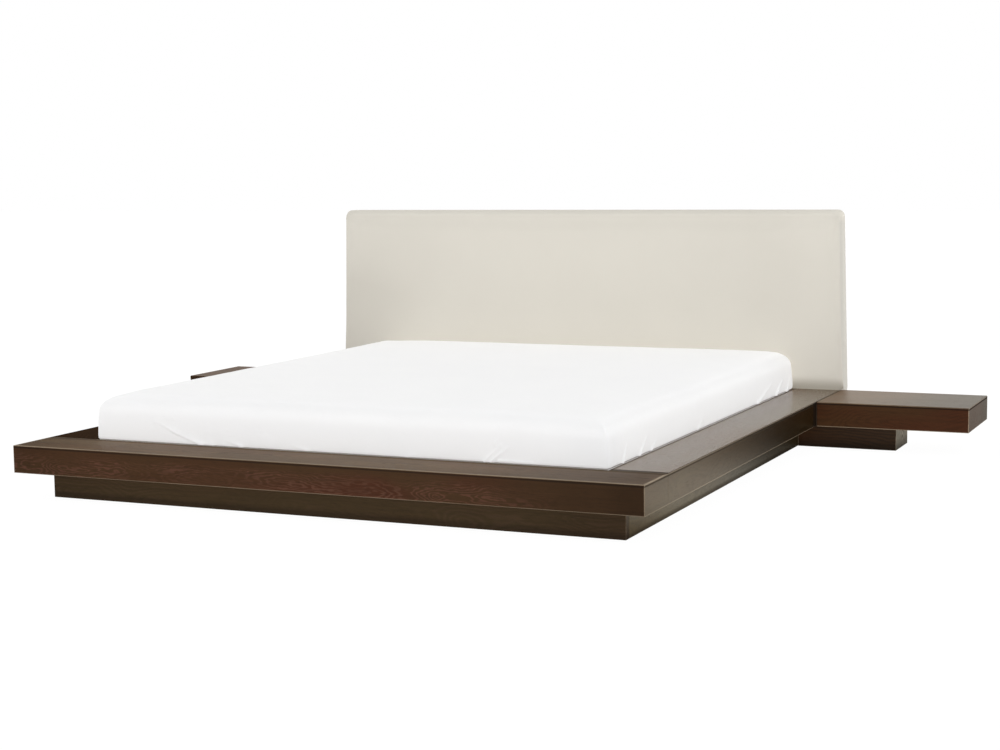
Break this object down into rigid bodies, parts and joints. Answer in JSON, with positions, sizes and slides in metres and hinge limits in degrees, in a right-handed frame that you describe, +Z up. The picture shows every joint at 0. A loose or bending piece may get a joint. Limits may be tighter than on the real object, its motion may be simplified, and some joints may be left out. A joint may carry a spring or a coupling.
{
  "type": "platform bed",
  "caption": "Low platform bed with a padded faux leather headboard, dark wood rails on a recessed plinth, slatted base, mattress and a floating bedside shelf on either side.",
  "frame": {"origin": "on the floor under the middle of the bed's whole width and whole length", "axes": "+X to the right seen from the foot end, +Y from the foot end to the headboard, +Z up"},
  "size_m": [3.284, 2.3275, 0.875],
  "materials": {
    "dark_oak_veneer": "dark stained oak veneer, semi-gloss",
    "pine": "planed, unfinished",
    "plywood": "unfinished",
    "beige_faux_leather": "fine grained beige faux leather",
    "foam": "upholstery foam",
    "dust_cloth": "black non-woven cloth",
    "zinc_steel": "zinc plated",
    "black_plastic": "moulded",
    "mattress_ticking": "woven ticking",
    "white_sheet": "white cotton fitted sheet"
  },
  "bodies": {
    "bed_frame": {"beam_nut_1": "zinc_steel", "beam_nut_2": "zinc_steel", "bedside_left_bottom": "dark_oak_veneer", "bedside_left_rim": "dark_oak_veneer", "bedside_left_support": "dark_oak_veneer", "bedside_left_top": "dark_oak_veneer", "bedside_right_bottom": "dark_oak_veneer", "bedside_right_rim": "dark_oak_veneer", "bedside_right_support": "dark_oak_veneer", "bedside_right_top": "dark_oak_veneer", "centre_beam": "pine", "corner_bracket_foot_left": "zinc_steel", "corner_bracket_foot_right": "zinc_steel", "corner_bracket_head_left": "zinc_steel", "corner_bracket_head_right": "zinc_steel", "foot_rail_bottom": "dark_oak_veneer", "foot_rail_end_left": "dark_oak_veneer", "foot_rail_end_right": "dark_oak_veneer", "foot_rail_fascia": "dark_oak_veneer", "foot_rail_inner": "dark_oak_veneer", "foot_rail_top": "dark_oak_veneer", "head_rail": "dark_oak_veneer", "headboard_back_cloth": "dust_cloth", "headboard_cover": "beige_faux_leather", "headboard_foam": "foam", "headboard_panel": "plywood", "headboard_rail_bottom": "pine", "headboard_rail_top": "pine", "headboard_stile_left": "pine", "headboard_stile_right": "pine", "plinth_back": "dark_oak_veneer", "plinth_front": "dark_oak_veneer", "plinth_left": "dark_oak_veneer", "plinth_right": "dark_oak_veneer", "side_rail_left_bottom": "dark_oak_veneer", "side_rail_left_fascia": "dark_oak_veneer", "side_rail_left_inner": "dark_oak_veneer", "side_rail_left_top": "dark_oak_veneer", "side_rail_right_bottom": "dark_oak_veneer", "side_rail_right_fascia": "dark_oak_veneer", "side_rail_right_inner": "dark_oak_veneer", "side_rail_right_top": "dark_oak_veneer", "slat_01": "pine", "slat_02": "pine", "slat_03": "pine", "slat_04": "pine", "slat_05": "pine", "slat_06": "pine", "slat_07": "pine", "slat_08": "pine", "slat_09": "pine", "slat_10": "pine", "slat_ledger_left": "pine", "slat_ledger_right": "pine"},
    "mattress": {"mattress_core": "mattress_ticking", "fitted_sheet": "white_sheet"},
    "pad_1": {"foot_pad_1": "black_plastic"},
    "stem_1": {"foot_stem_1": "zinc_steel"},
    "pad_2": {"foot_pad_2": "black_plastic"},
    "stem_2": {"foot_stem_2": "zinc_steel"}
  },
  "joints": [
    {"name": "mattress_lift", "type": "slide", "parent": "bed_frame", "child": "mattress", "axis": [0, 0, 1], "range_m": [0, 0.3]},
    {"name": "foot_travel_1", "type": "slide", "parent": "bed_frame", "child": "pad_1", "axis": [0, 0, 1], "range_m": [-0.01, 0.015]},
    {"name": "foot_spin_1", "type": "hinge", "parent": "pad_1", "child": "stem_1", "pos_m": [0, -0.36183, 0], "axis": [0, 0, 1], "continuous": true},
    {"name": "foot_travel_2", "type": "slide", "parent": "bed_frame", "child": "pad_2", "axis": [0, 0, 1], "range_m": [-0.01, 0.015]},
    {"name": "foot_spin_2", "type": "hinge", "parent": "pad_2", "child": "stem_2", "pos_m": [0, 0.44033, 0], "axis": [0, 0, 1], "continuous": true}
  ],
  "couplings": [
    {"joint": "foot_spin_1", "follows": "foot_travel_1", "rad_per_m": 4188.8},
    {"joint": "foot_spin_2", "follows": "foot_travel_2", "rad_per_m": 4188.8}
  ]
}
